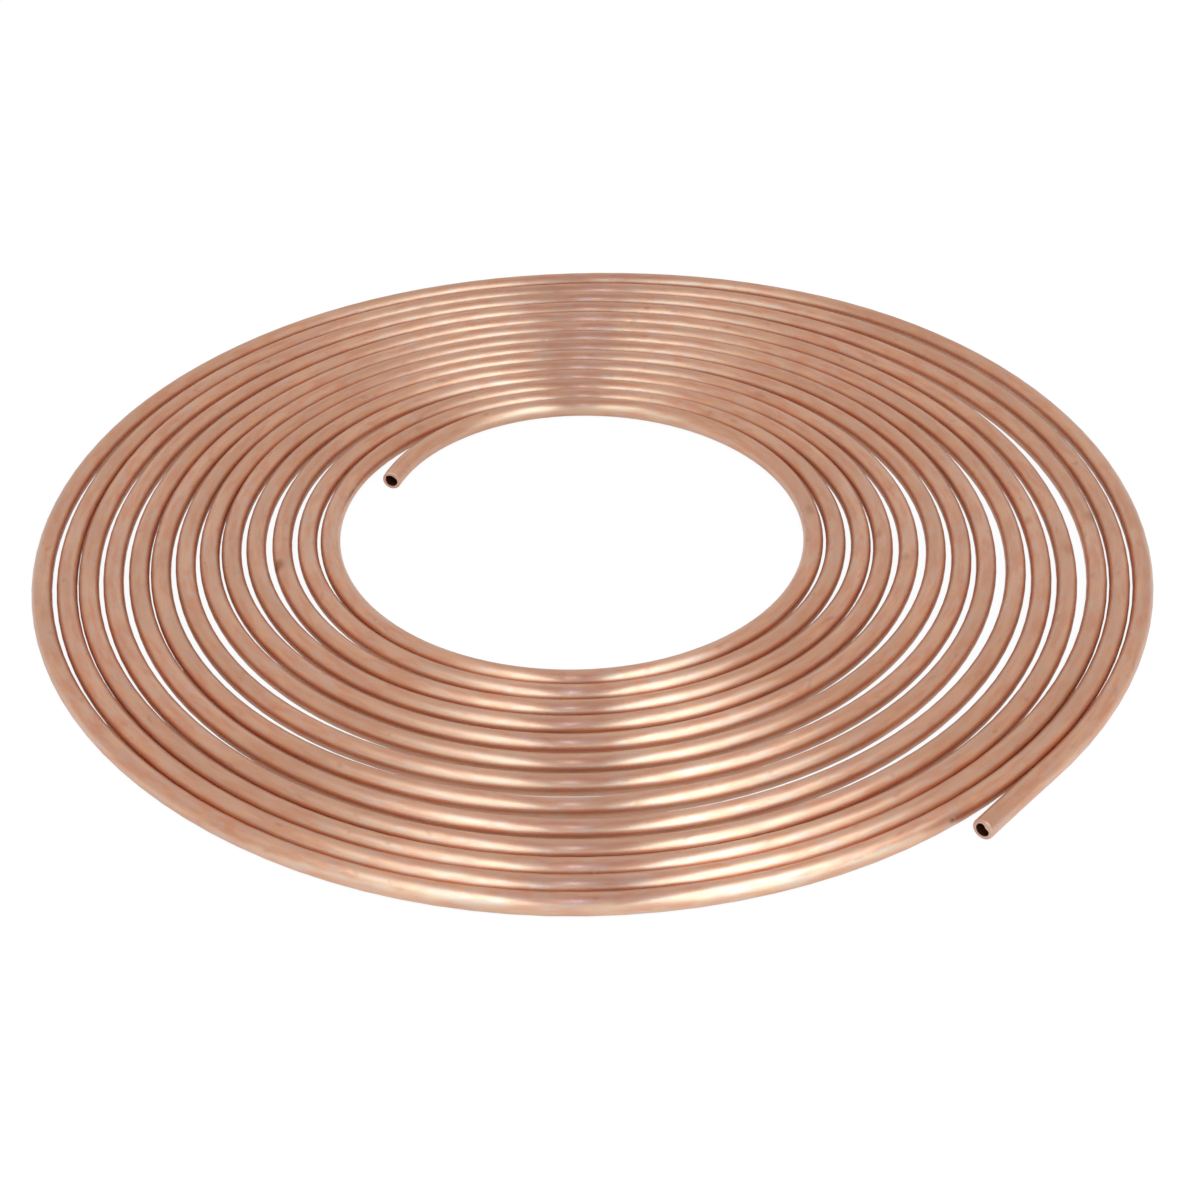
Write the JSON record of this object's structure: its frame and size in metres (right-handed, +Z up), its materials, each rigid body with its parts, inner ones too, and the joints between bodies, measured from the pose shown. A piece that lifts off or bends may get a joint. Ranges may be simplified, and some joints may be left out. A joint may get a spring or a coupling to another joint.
{
  "type": "copper tube coil",
  "caption": "Flat spiral coil of small soft copper tube, one layer deep, open in the middle, with both cut ends free: stock to unwind, cut and bend.",
  "frame": {"origin": "on the floor under the middle of the coil's bounding box", "axes": "+Z up, square to the flat of the coil. The outer cut end lies towards +X and -Y, and the inner one towards -X and +Y"},
  "size_m": [0.2672, 0.2666, 0.0048],
  "materials": {
    "copper": "soft-drawn annealed copper, satin, with faint draw lines along the tube and a few dull smudges"
  },
  "bodies": {
    "root": {"copper_tube": "copper"}
  },
  "joints": []
}
